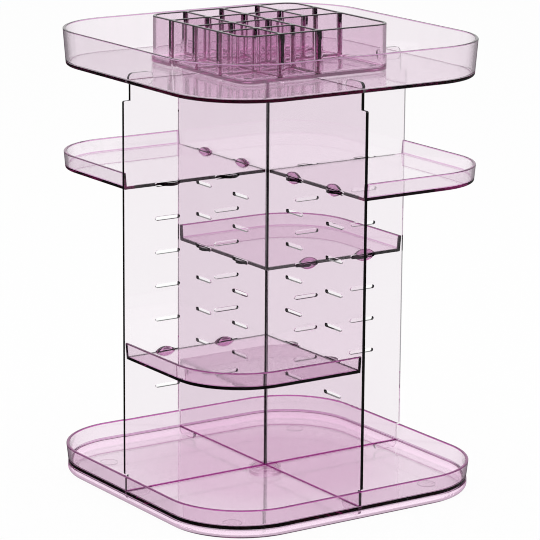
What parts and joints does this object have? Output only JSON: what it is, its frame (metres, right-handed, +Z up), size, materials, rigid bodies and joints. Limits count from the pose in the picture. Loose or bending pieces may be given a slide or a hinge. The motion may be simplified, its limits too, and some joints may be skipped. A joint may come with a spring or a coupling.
{
  "type": "rotating makeup organizer",
  "caption": "Clear tinted plastic makeup carousel: a turning base tray with crossed slotted panels, hook-in quarter shelves, a top tray and a divided lipstick box.",
  "frame": {"origin": "on the table, under the turning axis, at the middle of the base", "axes": "+Z up along the turning axis, X and Y along the two crossed panels"},
  "size_m": [0.2214, 0.2214, 0.3075],
  "materials": {
    "clear_plastic": "polished clear",
    "bearing_plastic": "clear",
    "pad_rubber": "clear soft"
  },
  "bodies": {
    "foot": {"base_foot": "clear_plastic", "foot_pad_near": "pad_rubber", "foot_pad_far": "pad_rubber", "foot_pad_left": "pad_rubber", "foot_pad_right": "pad_rubber"},
    "bearing": {"ball_cage": "bearing_plastic", "bearing_balls": "bearing_plastic"},
    "carousel": {"base_tray": "clear_plastic", "pivot_washer": "bearing_plastic", "pivot_screw": "bearing_plastic", "divider_panel_x": "clear_plastic", "divider_panel_y": "clear_plastic", "top_tray": "clear_plastic"},
    "box": {"lipstick_box": "clear_plastic"},
    "shelf_near": {"shelf_near": "clear_plastic"},
    "shelf_far": {"shelf_far": "clear_plastic"},
    "shelf_left": {"shelf_left": "clear_plastic"},
    "shelf_right": {"shelf_right": "clear_plastic"}
  },
  "joints": [
    {"name": "carousel_spin", "type": "hinge", "parent": "foot", "child": "carousel", "pos_m": [0, 0, 0.0055], "axis": [0, 0, 1], "continuous": true},
    {"name": "cage_spin", "type": "hinge", "parent": "foot", "child": "bearing", "pos_m": [0, 0, 0.0055], "axis": [0, 0, 1], "continuous": true},
    {"name": "box_lift", "type": "slide", "parent": "carousel", "child": "box", "axis": [0, 0, 1], "range_m": [0, 0.05]},
    {"name": "shelf_near_pull", "type": "slide", "parent": "carousel", "child": "shelf_near", "axis": [-0.7071, -0.7071, 0], "range_m": [0, 0.16]},
    {"name": "shelf_far_pull", "type": "slide", "parent": "carousel", "child": "shelf_far", "axis": [0.7071, 0.7071, 0], "range_m": [0, 0.16]},
    {"name": "shelf_left_pull", "type": "slide", "parent": "carousel", "child": "shelf_left", "axis": [-0.7071, 0.7071, 0], "range_m": [0, 0.16]},
    {"name": "shelf_right_pull", "type": "slide", "parent": "carousel", "child": "shelf_right", "axis": [0.7071, -0.7071, 0], "range_m": [0, 0.16]}
  ],
  "couplings": [
    {"joint": "cage_spin", "follows": "carousel_spin", "ratio": 0.5}
  ]
}
